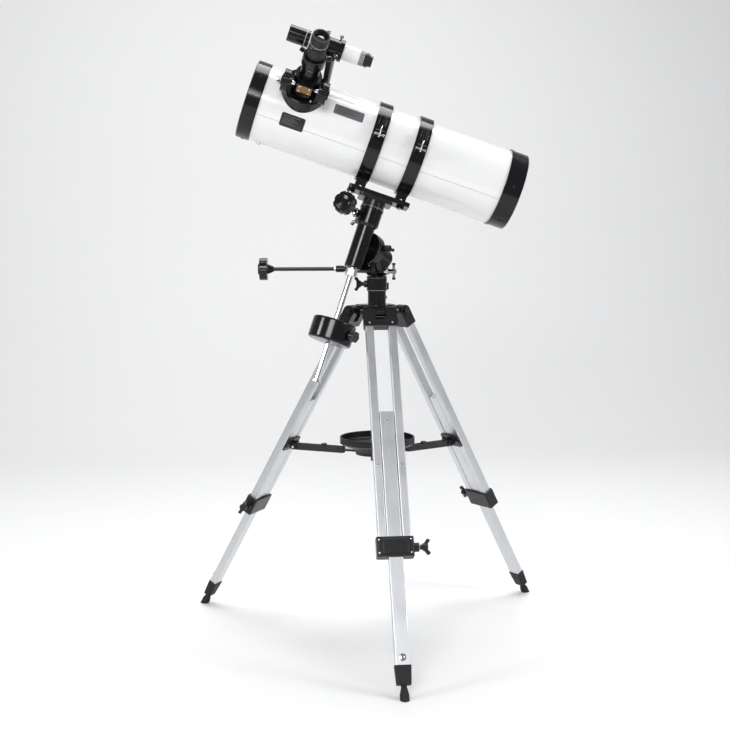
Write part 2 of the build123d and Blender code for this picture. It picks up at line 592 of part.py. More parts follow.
with BuildPart() as front_cap:
    end = tube_front
    turned(tube_plane, ((tube_radius - 9, end - 1), (tube_radius - 2, end - 2), (cap_radius, end),
                        (cap_radius, end + cap_depth), (tube_radius, end + cap_depth),
                        (tube_radius, end + lip), (tube_radius - 9, end + lip)))
save(front_cap.part, "front_cap")

with BuildPart() as rear_cap:
    end = tube_rear
    turned(tube_plane, ((tube_radius, end - rear_cap_depth), (cap_radius + 1.5, end - rear_cap_depth),
                        (cap_radius + 1.5, end - rear_cap_depth + 5), (cap_radius, end - rear_cap_depth + 5),
                        (cap_radius, end - 2), (cap_radius - 2, end), (66, end), (62, end - 4), (0, end - 4),
                        (0, end - 7), (61.5, end - 7), (66, end - lip), (tube_radius, end - lip)))
    with BuildSketch(tube_plane.offset(end - 5)) as screws:
        with PolarLocations(50, 3):
            Circle(7)
    extrude(screws.sketch, amount=6)
save(rear_cap.part, "rear_cap")

mirror_radius, mirror_back = 75.0, tube_rear - 29.0
with BuildPart() as primary_mirror:
    post(tube_plane, mirror_back - 20, mirror_back, mirror_radius)
    bowl = tube_plane.offset(mirror_back - 20 - 1397)
    with Locations(Location(bowl)):
        Sphere(1399, mode=Mode.SUBTRACT)
save(primary_mirror.part, "primary_mirror")

with BuildPart() as mirror_cell:
    post(tube_plane, mirror_back, mirror_back + 8, tube_radius - tube_wall - gap, 40)
    post(tube_plane, mirror_back - 12, mirror_back + 1, mirror_radius + 4, mirror_radius)
    with BuildSketch(tube_plane.offset(mirror_back + 7)) as springs:
        with PolarLocations(50, 3):
            Circle(6)
    extrude(springs.sketch, amount=tube_rear - 7 - mirror_back - 7)
save(mirror_cell.part, "mirror_cell")

diagonal_radius = 20.0
with BuildPart() as spider:
    post(tube_plane, spider_station - 10, spider_station + 30, 15)
    for turn in (0, 120, 240):
        spoke = side_plane(tube_plane, 0, 0, spider_station + 4, focuser_angle + 1 + turn)
        block(spoke, (-14, 14), (-0.6, 0.6), (13, tube_radius - tube_wall - 0.05))
        post(spoke, tube_radius - tube_wall - 3, tube_radius - tube_wall - 0.1, 3)
        post(spoke, tube_radius, tube_radius + 3, 4.5)
        post(spoke, tube_radius - 2, tube_radius + 1, 2)
save(spider.part, "spider")

with BuildPart() as secondary_mirror:
    post(tube_plane, spider_station + 30, focuser_station + 22, diagonal_radius)
    tilt = Plane(origin=focus_plane.origin, x_dir=focus_plane.y_dir,
                 z_dir=(focus_dir + tube_plane.z_dir) * 0.7071)
    split(bisect_by=tilt, keep=Keep.BOTTOM)
save(secondary_mirror.part, "secondary_mirror")

# ---- focuser ------------------------------------------------------------------------------------
neck_radius, neck_top = 29.0, 134.0
pinion_height, pinion_offset = 122.0, 25.5

with BuildPart() as focuser_base:
    post(focus_plane, 40, 97, 51)
    post(tube_plane, focuser_station - 80, focuser_station + 80, tube_radius + 0.05, mode=Mode.SUBTRACT)
    split(bisect_by=focus_plane.offset(40), keep=Keep.TOP)
    fillet(focuser_base.edges().sort_by(Axis(focus_plane.origin, focus_dir))[-1], 4)
    turned(focus_plane, ((0, 96), (33, 96), (neck_radius, 101), (neck_radius, neck_top), (0, neck_top)))
    block(focus_plane, (-17, 17), (0, pinion_offset + 9), (pinion_height - 12, pinion_height + 12))
    post(focus_plane, 60, neck_top, draw_radius + 0.3, mode=Mode.SUBTRACT)
    shaft = Plane(origin=focus_plane.from_local_coords((0, pinion_offset, pinion_height)),
                  x_dir=focus_dir, z_dir=focus_plane.x_dir)
    block(focus_plane, (-12, 12), (draw_radius - 2, pinion_offset + 5),
          (pinion_height - 6, pinion_height + 6), Mode.SUBTRACT)
    post(shaft, -21, 21, 3 + fit, mode=Mode.SUBTRACT)
save(focuser_base.part, "focuser_base")

with BuildPart() as focus_knobs:
    post(shaft, -52, 52, 3)
    post(shaft, -11.5, 11.5, 2.6)
    for sign in (-1, 1):
        knob = Plane(origin=shaft.origin, x_dir=focus_dir, z_dir=shaft.z_dir * sign)
        lobed(knob, 36, 50, 24, 24, 1.6)
        post(knob, 30, 37, 8)
        post(knob, 49, 53, 12)
save(focus_knobs.part, "focus_knobs")

holder_bottom, holder_top = 168.0, 194.0
with BuildPart() as drawtube:
    post(focus_plane, 72, holder_top - 4, draw_radius, 16.4)
    turned(focus_plane, ((draw_radius - 1, holder_bottom), (24, holder_bottom), (25, holder_bottom + 2),
                         (25, holder_top - 2), (24, holder_top), (16, holder_top), (16, holder_bottom + 4),
                         (draw_radius - 1, holder_bottom + 4)))
    for turn in (-62, 62):
        screw = side_plane(focus_plane, 0, 0, holder_top - 12, turn - 90)
        post(screw, 22, 32, 3)
        post(screw, 30, 37, 5.5)
    post(focus_plane, holder_bottom - 20, holder_top, 16, mode=Mode.SUBTRACT)
save(drawtube.part, "drawtube")

eyepiece_top = 253.0
with BuildPart() as eyepiece:
    turned(focus_plane, ((0, holder_top - 24), (15.9, holder_top - 24), (15.9, holder_top + gap),
                         (19, holder_top + gap), (19, 222), (17.5, 224), (17.5, 228), (19.5, 230),
                         (19.5, eyepiece_top - 6), (18.5, eyepiece_top), (15.5, eyepiece_top),
                         (13, eyepiece_top - 9), (0, eyepiece_top - 9)))
save(eyepiece.part, "eyepiece")

# ---- finder -------------------------------------------------------------------------------------
finder_dir = tube_plane.z_dir
finder_centre = tube_plane.from_local_coords((147, 77, focuser_station + 13))
finder_plane = Plane(origin=finder_centre, x_dir=dec_dir, z_dir=finder_dir)

with BuildPart() as finder_bracket:
    post(finder_plane, -12, 38, 21, 18.6)
    post(finder_plane, 31, 40, 24, 18.6)
    foot_point = focus_plane.from_local_coords((-41, -14, 97))
    arm_foot = Plane(origin=foot_point, x_dir=focus_plane.y_dir, z_dir=focus_dir)
    with BuildSketch(arm_foot) as low:
        RectangleRounded(30, 13, 4)
    meeting = tube_plane.from_local_coords((129, 73, focuser_station + 32))
    rise = meeting - foot_point
    with BuildSketch(Plane(origin=meeting, x_dir=focus_plane.y_dir, z_dir=rise)) as high:
        RectangleRounded(28, 14, 4)
    loft([low.sketch.face(), high.sketch.face()])
    post(finder_plane, -12, 40, 18.6, mode=Mode.SUBTRACT)
    for turn in (15, 135, 255):
        for height in (-2, 28):
            screw = side_plane(finder_plane, 0, 0, height, turn)
            post(screw, 17.3, 27, 1.8)
            post(screw, 26, 32, 4)
save(finder_bracket.part, "finder_bracket")

with BuildPart() as finder_scope:
    turned(finder_plane, ((0, -82), (13, -82), (17.5, -84), (18, -84), (18, -36), (17.2, -34), (17.2, 76),
                          (15.5, 78), (15.5, 88), (14, 89), (14, 92), (16, 93), (16, 96), (14, 97), (14, 100),
                          (12, 101), (12, 107), (8, 107), (8, 104), (0, 104)))
save(finder_scope.part, "finder_scope")
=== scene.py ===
"""Looks for the newtonian reflector telescope: finishes on the CAD pieces, and the small detail on them.

Shapes are given in millimetres and degrees, in the axes of the frames below: TUBE and FINDER look down
the tube, FOCUS up the focuser, DEC and POLAR up the mount's two axes. The frames themselves are in metres.
"""
import json
from math import cos, hypot, pi, radians, sin

import bpy
from mathutils import Matrix, Vector


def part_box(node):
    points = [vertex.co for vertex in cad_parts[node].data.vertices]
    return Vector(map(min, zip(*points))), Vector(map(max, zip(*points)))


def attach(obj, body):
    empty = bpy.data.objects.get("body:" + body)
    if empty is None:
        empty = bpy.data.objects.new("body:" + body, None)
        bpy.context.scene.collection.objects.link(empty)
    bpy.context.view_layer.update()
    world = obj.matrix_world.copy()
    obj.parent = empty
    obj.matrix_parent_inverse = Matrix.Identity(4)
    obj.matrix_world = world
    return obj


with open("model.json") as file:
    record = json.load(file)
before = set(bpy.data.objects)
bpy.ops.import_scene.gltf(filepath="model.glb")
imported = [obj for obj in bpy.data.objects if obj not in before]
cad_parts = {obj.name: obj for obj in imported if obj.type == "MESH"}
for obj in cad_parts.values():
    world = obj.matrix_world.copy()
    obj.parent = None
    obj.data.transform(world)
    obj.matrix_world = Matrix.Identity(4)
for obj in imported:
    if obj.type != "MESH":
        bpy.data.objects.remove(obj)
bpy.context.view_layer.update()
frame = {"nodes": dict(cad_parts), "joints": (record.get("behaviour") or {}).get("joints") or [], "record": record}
joints = {joint["name"]: joint for joint in frame["joints"]}

# sizes repeated from the model
TUBE_RADIUS, CAP_RADIUS = 85.0, 87.0
FOCUSER_STATION, FOCUSER_ANGLE, FLANGE_TOP = -225.0, 63.5, 96.9
RING_STATIONS = {"front": -42.5, "rear": 52.5}
WEIGHT_BASE = -228.5
SADDLE_TURN = -48.4
BRACKET_STATION = 361.8
THIRDS = (-30, 90, 210)
TRAY_HOLE_CIRCLE = 54.0


# ---- places ----
def direction(name):
    return Vector(joints[name]["axis"]).normalized()


def place(name):
    return Vector(joints[name]["pos_m"])


def frame_at(origin, z, x):
    """A matrix whose local Z is z and whose local X lies along x."""
    z = z.normalized()
    y = z.cross(x).normalized()
    x = y.cross(z)
    return Matrix.Translation(origin) @ Matrix((x, y, z)).transposed().to_4x4()


def point(plane, x, y, z):
    """A point of the plane's axes, given in millimetres."""
    return plane @ (Vector((x, y, z)) / 1000)


def turned_by(angle):
    """A turn about Z by degrees."""
    return Matrix.Rotation(radians(angle), 4, "Z")


def shifted(plane, x=0.0, y=0.0, z=0.0, turn=0.0):
    """The plane moved by millimetres in its own axes and turned about its Z by degrees."""
    return plane @ Matrix.Translation(Vector((x, y, z)) / 1000) @ turned_by(turn)


def around(plane, radius, z, angles):
    """Frames parallel to the plane, on a circle about its Z."""
    return [shifted(plane, radius * cos(radians(a)), radius * sin(radians(a)), z) for a in angles]


def facing_y(plane, x, y, z, along):
    """A frame at a point of the plane that looks along the plane's Y, with its X lying along a direction."""
    return frame_at(point(plane, x, y, z), plane.to_3x3() @ Vector((0, 1, 0)), along)


def radial(plane, angle, z, radius):
    """A frame on a cylinder about the plane's Z: local Z points outward, local X runs along the cylinder."""
    outward = plane.to_3x3() @ Vector((cos(radians(angle)), sin(radians(angle)), 0))
    along = plane.to_3x3() @ Vector((0, 0, 1))
    return frame_at(point(plane, 0, 0, z) + outward * radius / 1000, outward, along)


dec_dir, polar_dir = direction("declination"), direction("right_ascension")
tube_dir, focus_dir = direction("tube_rotation"), direction("focus_travel")
east, up = direction("latitude_bolt_turn"), Vector((0, 0, 1))
WORLD = Matrix.Identity(4)
TUBE = frame_at(place("tube_rotation"), tube_dir, dec_dir)
DEC = frame_at(place("right_ascension"), dec_dir, polar_dir)
POLAR = frame_at(place("right_ascension") - polar_dir * 0.07, polar_dir, east)
FOCUS = frame_at(point(TUBE, 0, 0, FOCUSER_STATION), focus_dir, -tube_dir)
FINDER = frame_at(point(TUBE, 147, 77, FOCUSER_STATION + 13), tube_dir, dec_dir)


# ---- finishes ----
def finish(name, colour, rough, metal=0.0, bump=0.1, scale=300.0, spread=0.06, coat=0.0,
           wear=0.0, wear_colour=(0.5, 0.5, 0.5), along=None, ior=1.5):
    """A procedural finish: uneven roughness, a fine surface texture, and worn or dusty patches."""
    material = bpy.data.materials.new(name)
    material.use_nodes = True
    tree = material.node_tree
    nodes, links = tree.nodes, tree.links
    shader = nodes["Principled BSDF"]
    shader.inputs["Metallic"].default_value = metal
    shader.inputs["IOR"].default_value = ior
    shader.inputs["Coat Weight"].default_value = coat
    shader.inputs["Coat Roughness"].default_value = 0.08
    where = nodes.new("ShaderNodeTexCoord")
    mapping = nodes.new("ShaderNodeMapping")
    mapping.vector_type = "TEXTURE"
    links.new(where.outputs["Object"], mapping.inputs["Vector"])
    if along is not None:
        # drawn out along one direction, as brushing is
        mapping.inputs["Rotation"].default_value = along.to_track_quat("Z", "Y").to_euler()
        mapping.inputs["Scale"].default_value = (1, 1, 40)
    fine = nodes.new("ShaderNodeTexNoise")
    fine.inputs["Scale"].default_value = scale
    fine.inputs["Detail"].default_value = 4
    broad = nodes.new("ShaderNodeTexNoise")
    broad.inputs["Scale"].default_value = 14
    broad.inputs["Detail"].default_value = 6
    links.new(mapping.outputs["Vector"], fine.inputs["Vector"])
    links.new(where.outputs["Object"], broad.inputs["Vector"])
    mixed = nodes.new("ShaderNodeMath")
    mixed.operation = "ADD"
    links.new(fine.outputs["Fac"], mixed.inputs[0])
    links.new(broad.outputs["Fac"], mixed.inputs[1])
    uneven = nodes.new("ShaderNodeMapRange")
    uneven.inputs["From Min"].default_value = 0.7
    uneven.inputs["From Max"].default_value = 1.3
    uneven.inputs["To Min"].default_value = max(rough - spread, 0.02)
    uneven.inputs["To Max"].default_value = rough + spread
    links.new(mixed.outputs[0], uneven.inputs["Value"])
    links.new(uneven.outputs["Result"], shader.inputs["Roughness"])
    patches = nodes.new("ShaderNodeValToRGB")
    patches.color_ramp.elements[0].position = 0.58
    patches.color_ramp.elements[1].position = 0.82
    links.new(broad.outputs["Fac"], patches.inputs["Fac"])
    amount = nodes.new("ShaderNodeMath")
    amount.operation = "MULTIPLY"
    amount.inputs[1].default_value = wear
    links.new(patches.outputs["Color"], amount.inputs[0])
    mix = nodes.new("ShaderNodeMix")
    mix.data_type = "RGBA"
    mix.inputs["A"].default_value = (*colour, 1)
    mix.inputs["B"].default_value = (*wear_colour, 1)
    links.new(amount.outputs[0], mix.inputs["Factor"])
    links.new(mix.outputs["Result"], shader.inputs["Base Color"])
    relief = nodes.new("ShaderNodeBump")
    relief.inputs["Strength"].default_value = bump
    relief.inputs["Distance"].default_value = 0.0003
    links.new(fine.outputs["Fac"], relief.inputs["Height"])
    links.new(relief.outputs["Normal"], shader.inputs["Normal"])
    return material


DUST = (0.35, 0.34, 0.32)
FINISHES = {
    "white_tube": finish("white_enamel", (0.80, 0.80, 0.80), 0.16, coat=0.6, bump=0.02, scale=160,
                         spread=0.04, wear=0.08, wear_colour=DUST),
    "white_finder": finish("white_moulding", (0.78, 0.78, 0.78), 0.28, coat=0.2, bump=0.05, wear=0.1,
                           wear_colour=DUST),
    "black_casting": finish("black_enamel", (0.006, 0.006, 0.007), 0.24, bump=0.14, scale=650, ior=1.42,
                            wear=0.03, wear_colour=DUST),
    "black_gloss": finish("gloss_enamel", (0.004, 0.004, 0.005), 0.15, bump=0.05, spread=0.05, ior=1.42,
                          wear=0.02, wear_colour=DUST),
    "black_plastic": finish("black_moulding", (0.008, 0.008, 0.009), 0.34, bump=0.22, scale=900,
                            spread=0.08, ior=1.42, wear=0.04, wear_colour=DUST),
    "black_steel": finish("black_strip", (0.012, 0.012, 0.013), 0.34, bump=0.1, spread=0.08, wear=0.08,
                          wear_colour=DUST),
    "foot_rubber": finish("foot_rubber", (0.007, 0.007, 0.007), 0.6, bump=0.4, scale=500, ior=1.42,
                          wear=0.05, wear_colour=DUST),
    "chrome_steel": finish("chrome", (0.72, 0.72, 0.74), 0.13, metal=1, bump=0.03, scale=220, wear=0.2,
                           wear_colour=(0.42, 0.42, 0.43)),
    "mirror_glass": finish("silvered_glass", (0.86, 0.88, 0.9), 0.03, metal=1, bump=0.0, spread=0.015,
                           wear=0.06),
    "bronze": finish("bronze_plate", (0.30, 0.17, 0.07), 0.34, metal=1, wear=0.4,
                     wear_colour=(0.12, 0.07, 0.03)),
    "flat_black": finish("flat_black", (0.006, 0.006, 0.006), 0.85, bump=0.3, scale=800, wear=0.1,
                         wear_colour=DUST),
    "grip": finish("grip_rubber", (0.012, 0.012, 0.012), 0.6, bump=0.3, scale=700, wear=0.12,
                   wear_colour=DUST),
    "lens": finish("coated_lens", (0.01, 0.006, 0.016), 0.04, bump=0.0, coat=1.0, spread=0.015, wear=0.03,
                   ior=1.9),
    "silver_label": finish("silver_label", (0.17, 0.175, 0.185), 0.34, metal=0.6, bump=0.03, wear=0.2,
                           wear_colour=(0.25, 0.25, 0.26)),
    "black_label": finish("black_label", (0.012, 0.012, 0.014), 0.3, bump=0.03, wear=0.08,
                          wear_colour=DUST),
    "dim_print": finish("dim_print", (0.12, 0.12, 0.12), 0.5, bump=0.04, wear=0.3,
                        wear_colour=(0.05, 0.05, 0.05)),
    "print": finish("pale_print", (0.62, 0.62, 0.6), 0.45, bump=0.04, wear=0.3,
                    wear_colour=(0.3, 0.3, 0.3)),
}
FINISHES["chrome_lock"] = FINISHES["chrome_steel"]
FINISHES["gloss_iron"] = FINISHES["black_gloss"]
FINISHES["spider_steel"] = FINISHES["flat_black"]
for leg in "abc":
    FINISHES["aluminium_" + leg] = finish("aluminium_" + leg, (0.62, 0.63, 0.65), 0.36, metal=1, bump=0.08,
                                          scale=900, spread=0.08, wear=0.18, wear_colour=(0.42, 0.42, 0.44),
                                          along=direction("leg_%s_extend" % leg))
GLOSSY = ("front_cap", "rear_cap", "ring_", "cradle_bar", "focuser_base", "drawtube", "finder_bracket",
          "focus_knobs", "dec_slow", "ra_slow", "dec_housing", "polar_housing")
for part in frame["record"]["subparts"]:
    node, slot = part["node"], part["material_slot"]
    if slot == "aluminium_leg":
        slot = "aluminium_" + node[len("leg_")]
    elif node.startswith(GLOSSY) and slot in ("black_casting", "black_plastic"):
        slot = "black_gloss"
    mesh = frame["nodes"][node].data
    mesh.materials.clear()
    mesh.materials.append(FINISHES[slot])


# ---- shapes ----
def piece(name, body, slot, material, verts, faces, plane, smooth=True):
    """A mesh given in millimetres in a plane's own axes, riding on a CAD body."""
    mesh = bpy.data.meshes.new(name)
    mesh.from_pydata([point(plane, *v) for v in verts], [], faces)
    mesh.validate()
    mesh.update()
    if smooth:
        mesh.shade_smooth()
        mesh.set_sharp_from_angle(angle=radians(35))
    mesh.materials.append(FINISHES[material])
    made = bpy.data.objects.new(name, mesh)
    bpy.context.scene.collection.objects.link(made)
    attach(made, body)


def bars(items):
    """Vertices and faces of several boxes, each (x range, y range, z range, frame)."""
    verts, faces = [], []
    for x, y, z, local in items:
        start = len(verts)
        verts += [tuple(local @ Vector((a, b, c))) for a in x for b in y for c in z]
        faces += [[start + i for i in face] for face in
                  ((0, 1, 3, 2), (4, 6, 7, 5), (0, 4, 5, 1), (2, 3, 7, 6), (0, 2, 6, 4), (1, 5, 7, 3))]
    return verts, faces


def lathed(outline, count=40, lobes=0, depth=0.0):
    """Vertices and faces of a turned outline of (radius, height) points, its end joined back to its start."""
    verts, faces = [], []
    for radius, height in outline:
        for i in range(count):
            a = 2 * pi * i / count
            grip = depth * (0.5 - 0.5 * cos(lobes * a)) if lobes else 0.0
            r = max(radius - grip, 0.01)
            verts.append((r * cos(a), r * sin(a), height))
    for row in range(len(outline)):
        above = (row + 1) % len(outline)
        for i in range(count):
            j = (i + 1) % count
            faces.append((row * count + i, row * count + j, above * count + j, above * count + i))
    return verts, faces


def turned(name, body, slot, material, plane, outline, **grip):
    piece(name, body, slot, material, *lathed(outline, **grip), plane)


def screws(name, body, slot, planes, radius, height, material="chrome_steel", sides=6):
    """Domed screw heads with a socket, one at each plane, standing up along its Z."""
    head = ((radius, 0), (radius, height * 0.55), (radius * 0.86, height * 0.9), (radius * 0.5, height),
            (radius * 0.45, height * 0.35), (0.01, height * 0.35))
    verts, faces = [], []
    origin = planes[0]
    for plane in planes:
        start = len(verts)
        local = origin.inverted() @ plane
        points, rims = lathed(head, count=4 * sides)
        verts += [tuple(point(local, *p) * 1000) for p in points]
        faces += [[start + i for i in face] for face in rims]
    piece(name, body, slot, material, verts, faces, origin)


def wrap(name, body, slot, material, radius, angles, heights, thickness=0.35, corner=3.0, steps=24):
    """A thin patch with rounded corners, wrapped on a cylinder about the tube's axis."""
    verts, faces = [], []
    span, half_turn = heights[1] - heights[0], radians(angles[1] - angles[0]) * radius / 2
    for i in range(steps + 1):
        t = i / steps
        a = radians(angles[0] + (angles[1] - angles[0]) * t)
        edge = half_turn - abs(2 * t - 1) * half_turn
        inset = 0.0 if edge >= corner else corner - (corner ** 2 - (corner - edge) ** 2) ** 0.5
        for z in (heights[0] + inset, heights[0] + span - inset):
            for r in (radius - 0.2, radius + thickness):
                verts.append((r * cos(a), r * sin(a), z))
    for i in range(steps):
        b, n = i * 4, i * 4 + 4
        faces += [(b + 1, b + 3, n + 3, n + 1), (b, n, n + 2, b + 2),
                  (b, b + 1, n + 1, n), (b + 3, b + 2, n + 2, n + 3)]
    last = steps * 4
    faces += [(0, 2, 3, 1), (last, last + 1, last + 3, last + 2)]
    piece(name, body, slot, material, verts, faces, TUBE)


def ticks(name, body, slot, plane, radius, z, count, long_every, short=2.2, long=3.6, width=0.35):
    """Graduations standing 0.12 mm proud of a cylinder about the plane's Z, from height z downwards."""
    items = []
    for i in range(count):
        length = long if i % long_every == 0 else short
        items.append(((radius - 0.2, radius + 0.12), (-width / 2, width / 2), (z - length, z),
                      turned_by(360 * i / count)))
    piece(name, body, slot, "print", *bars(items), plane, smooth=False)


# ---- optical tube ----
wrap("tube_seam", "optical_tube", "white_tube", "silver_label", TUBE_RADIUS - 0.1, (122.1, 122.5),
     (-306, 254), 0.18, 0.1, 2)
PLATE_THICKNESS, RULE_THICKNESS, RULE_CORNER = 0.35, 0.1, 0.2
PLATE_FACE = TUBE_RADIUS + PLATE_THICKNESS
wrap("maker_plate", "optical_tube", "white_tube", "silver_label", TUBE_RADIUS, (67.4, 83.6), (-151, -84),
     PLATE_THICKNESS)
for i, (low, high, end) in enumerate(((71.0, 71.8, -96), (74.0, 74.6, -108), (77.0, 77.6, -101),
                                      (79.6, 80.1, -118))):
    wrap("maker_plate_rule_%d" % i, "optical_tube", "white_tube", "black_label", PLATE_FACE, (low, high),
         (-144, end), RULE_THICKNESS, RULE_CORNER, 4)
wrap("data_plate", "optical_tube", "white_tube", "black_label", TUBE_RADIUS, (106.4, 126.6), (-254, -201),
     PLATE_THICKNESS)
for i, (angle, end) in enumerate(((109.5, -212), (112.6, -222), (115.2, -216), (117.8, -226), (120.6, -219))):
    wrap("data_plate_rule_%d" % i, "optical_tube", "white_tube", "dim_print", PLATE_FACE,
         (angle, angle + 0.7), (-249, end), RULE_THICKNESS, RULE_CORNER, 3)
for name, first, station in (("front", 8, -322), ("rear", 38, 276)):
    screws(name + "_cap_screws", "optical_tube", "black_plastic",
           [radial(TUBE, first + 60 * i, station, CAP_RADIUS - 0.3) for i in range(6)],
           3.4, 1.2, "flat_black")
screws("spider_nuts", "optical_tube", "chrome_steel",
       [radial(TUBE, 64.5 + 120 * i, -284, TUBE_RADIUS + 0.3) for i in range(3)], 4.9, 3.6)
turned("front_cap_bead", "optical_tube", "black_casting", "black_gloss", shifted(TUBE, z=-310),
       ((86.8, 0), (87.35, 0.5), (87.35, 1.5), (86.8, 2)), count=120)


def tube_lining():
    """The tube's matt black lining, open where the drawtube comes through."""
    radius, opening = 83.5, 36.0
    start, length = -330.0, 570.0
    count, rows = 96, 60
    verts, faces = [], []
    for row in range(rows + 1):
        for i in range(count):
            a = 2 * pi * i / count
            verts.append((radius * cos(a), radius * sin(a), start + length * row / rows))
    for row in range(rows):
        z = start + length * (row + 0.5) / rows
        for i in range(count):
            turn = (360 * (i + 0.5) / count - FOCUSER_ANGLE + 180) % 360 - 180
            if hypot(radians(turn) * radius, z - FOCUSER_STATION) > opening:
                j = (i + 1) % count
                low, high = row * count, (row + 1) * count
                faces.append((low + i, high + i, high + j, low + j))
    piece("tube_lining", "optical_tube", "spider_steel", "flat_black", verts, faces, TUBE)


tube_lining()
screws("collimation_screws", "optical_tube", "chrome_steel", around(TUBE, 50, 296.9, (0, 120, 240)),
       4.6, 1.3)
piece("mirror_clips", "optical_tube", "black_casting", "flat_black", *bars(
    [((66, 76), (-6, 6), (245.5, 247.0), turned_by(a)) for a in (60, 180, 300)]), TUBE, False)

# ---- focuser ----
for i, (x, y) in enumerate(((38, 10), (-20, 36), (-34, -24), (26, -32))):
    screws("flange_screw_%d" % i, "optical_tube", "chrome_steel", [shifted(FOCUS, x, y, FLANGE_TOP)],
           3.2, 2.0)
piece("pinion_plate", "optical_tube", "black_casting", "bronze", *bars(
    [((-15.5, 15.5), (34.4, 35.6), (111.5, 132.5), WORLD)]), FOCUS, False)
screws("pinion_plate_screws", "optical_tube", "chrome_steel",
       [facing_y(FOCUS, x, 35.5, z, focus_dir) for x in (-11, 11) for z in (115.5, 128.5)], 2.3, 1.5)
shaft = frame_at(place("focus_knob_turn"), direction("focus_knob_turn"), focus_dir)
for i, side in enumerate((shaft @ Matrix.Rotation(pi, 4, "X"), shaft)):
    turned("focus_sleeve_%d" % i, "focus_knobs", "chrome_steel", "chrome_steel", shifted(side, z=22),
           ((3.2, 0), (4.6, 0.6), (4.6, 7.2), (3.2, 7.8)))
    turned("focus_cap_%d" % i, "focus_knobs", "chrome_steel", "chrome_steel", shifted(side, z=52.7),
           ((8.6, 0), (8.6, 0.5), (7.8, 1.0), (0.01, 1.1)))
turned("drawtube_bead", "drawtube", "black_casting", "chrome_steel", shifted(FOCUS, z=165.2),
       ((21.4, 0), (22.1, 0.4), (22.1, 2.0), (21.4, 2.4)))
piece("rack", "drawtube", "black_casting", "black_plastic", *bars(
    [((-4, 4), (21.0, 21.95), (86 + 2.4 * i, 87.2 + 2.4 * i), WORLD) for i in range(8)]), FOCUS, False)
for low in (199.5, 206.0, 212.5):
    turned("eyepiece_grip_%d" % low, "eyepiece", "black_plastic", "grip", shifted(FOCUS, z=low),
           ((19.0, 0), (19.7, 0.5), (19.7, 4.0), (19.0, 4.5)), count=180, lobes=60, depth=0.35)
turned("eyepiece_lens", "eyepiece", "black_plastic", "lens", shifted(FOCUS, z=243.9),
       ((12.6, 0), (12.4, 0.9), (9, 1.9), (4.5, 2.4), (0.01, 2.5)))
turned("eyepiece_line", "eyepiece", "black_plastic", "print", shifted(FOCUS, z=231.5),
       ((19.45, 0), (19.62, 0.2), (19.62, 0.8), (19.45, 1.0)), count=96)

# ---- finder ----
turned("finder_hood", "optical_tube", "black_plastic", "black_gloss", shifted(FINDER, z=-84.2),
       ((17.95, 0), (18.35, 0.4), (18.35, 47.6), (17.4, 48.2)), count=96)
turned("finder_line", "optical_tube", "white_finder", "print", shifted(FINDER, z=-46),
       ((18.3, 0), (18.5, 0.2), (18.5, 0.9), (18.3, 1.1)), count=96)
turned("finder_objective", "optical_tube", "white_finder", "lens", shifted(FINDER, z=-84.6),
       ((0.01, -0.3), (6, 0.0), (12.5, 0.9), (16.2, 2.0), (16.4, 3.0)))
for i in range(4):
    turned("finder_rib_%d" % i, "optical_tube", "black_plastic", "grip", shifted(FINDER, z=78.4 + 2.4 * i),
           ((15.5, 0), (16.1, 0.4), (16.1, 1.4), (15.5, 1.8)), count=120, lobes=40, depth=0.3)
turned("finder_back", "optical_tube", "black_plastic", "black_plastic", shifted(FINDER, z=87.9),
       ((15.6, 0), (15.6, 1.1), (14.15, 1.3), (14.15, 4.0), (16.15, 4.6), (16.15, 8.3), (14.1, 9.1),
        (14.1, 12.2), (12.1, 13.2), (12.1, 19.2), (8.2, 19.25), (8.1, 16.4), (0.01, 16.3)))
turned("finder_eye_lens", "optical_tube", "black_plastic", "lens", shifted(FINDER, z=104.2),
       ((8.0, 0), (7.6, 0.8), (4, 1.4), (0.01, 1.6)))
for turn in (15, 135, 255):
    for height in (-2, 28):
        turned("finder_screw_%d_%d" % (turn, height + 2), "optical_tube", "chrome_steel", "chrome_steel",
               radial(FINDER, turn, height, 26.2),
               ((3.9, 0), (4.25, 0.4), (4.25, 5.3), (3.7, 5.95), (0.01, 6.0)), count=72, lobes=18, depth=0.3)

